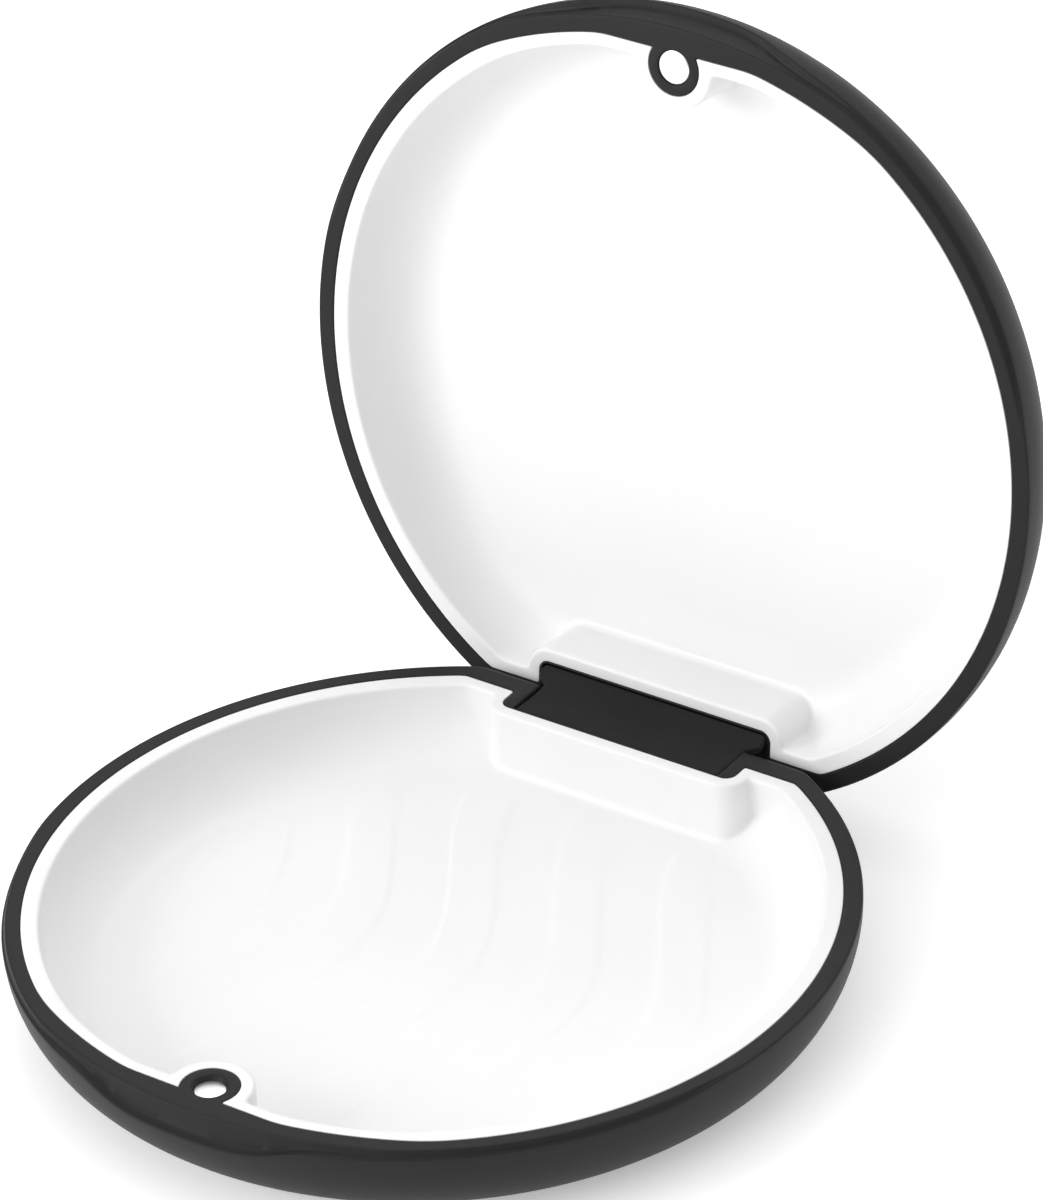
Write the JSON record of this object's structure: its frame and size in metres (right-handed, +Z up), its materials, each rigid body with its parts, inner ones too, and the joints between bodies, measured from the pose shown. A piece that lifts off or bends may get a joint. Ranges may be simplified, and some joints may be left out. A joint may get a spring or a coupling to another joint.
{
  "type": "retainer case",
  "caption": "Slim round two-shell retainer case with pale liners, a soft hinge web and a magnetic closure, standing open.",
  "frame": {"origin": "centre of the base's flat underside, on the axis of the base's round outline", "axes": "+X along the hinge, +Y from the magnets back to the hinge, +Z up, out of the base's dish"},
  "size_m": [0.0848, 0.1001, 0.0859],
  "materials": {
    "shell": "dark charcoal, soft satin",
    "liner": "white, smooth and glossy",
    "magnet": "bright nickel plate, lightly brushed",
    "web": "dark soft-touch rubber, satin"
  },
  "bodies": {
    "base": {"base_shell": "shell", "base_liner": "liner", "base_magnet": "magnet", "hinge_web": "web"},
    "lid": {"lid_shell": "shell", "lid_liner": "liner", "lid_magnet": "magnet"}
  },
  "joints": [
    {"name": "lid_hinge", "type": "hinge", "parent": "base", "child": "lid", "pos_m": [0, 0.03665, 0.0081], "axis": [-1, 0, 0], "range_deg": [-96.4, 23.6], "deforming": ["hinge_web"]}
  ]
}
